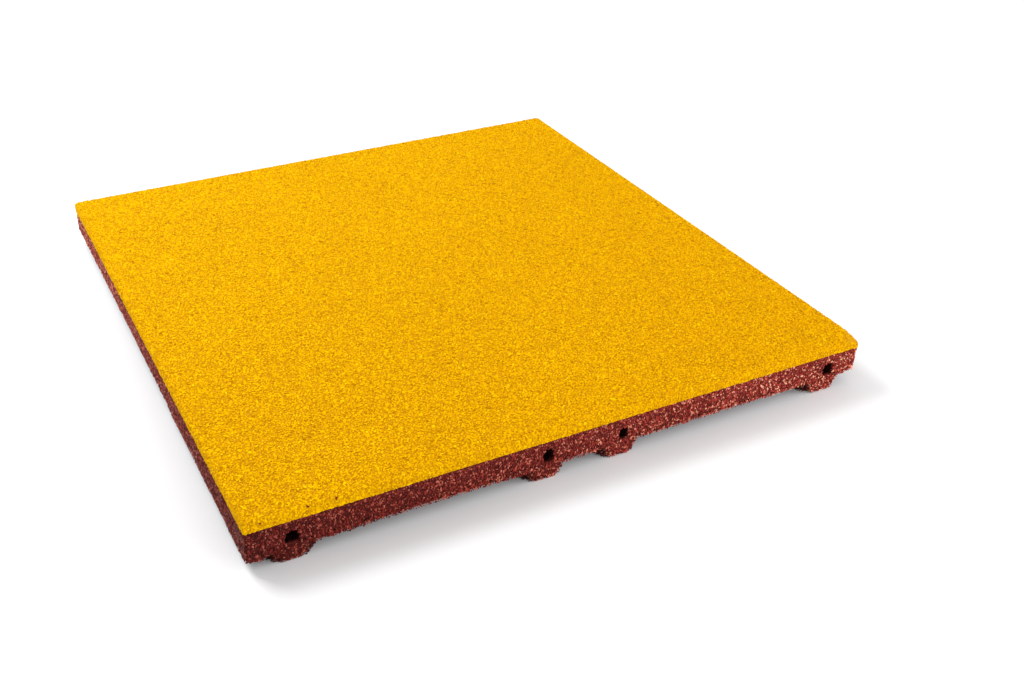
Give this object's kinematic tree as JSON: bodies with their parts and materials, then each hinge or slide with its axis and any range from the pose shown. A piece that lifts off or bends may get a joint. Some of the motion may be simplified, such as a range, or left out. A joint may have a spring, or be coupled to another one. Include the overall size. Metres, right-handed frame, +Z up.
{
  "type": "rubber tile",
  "caption": "Square shock-absorbing floor tile of bonded rubber granules, with a coloured wear layer on a studded base that has pin sockets in its front and back edges.",
  "frame": {"origin": "on the floor, under the middle of the tile", "axes": "+Z up, out of the walking face; X along the front face and Y from the front face to the back face, the two faces with the pin sockets"},
  "size_m": [0.5, 0.5, 0.04],
  "materials": {
    "yellow_rubber": "matte, granular, bright yellow",
    "red_brown_rubber": "matte, coarse granular, dark red-brown"
  },
  "bodies": {
    "root": {"wear_layer": "yellow_rubber", "base_layer": "red_brown_rubber"}
  },
  "joints": []
}
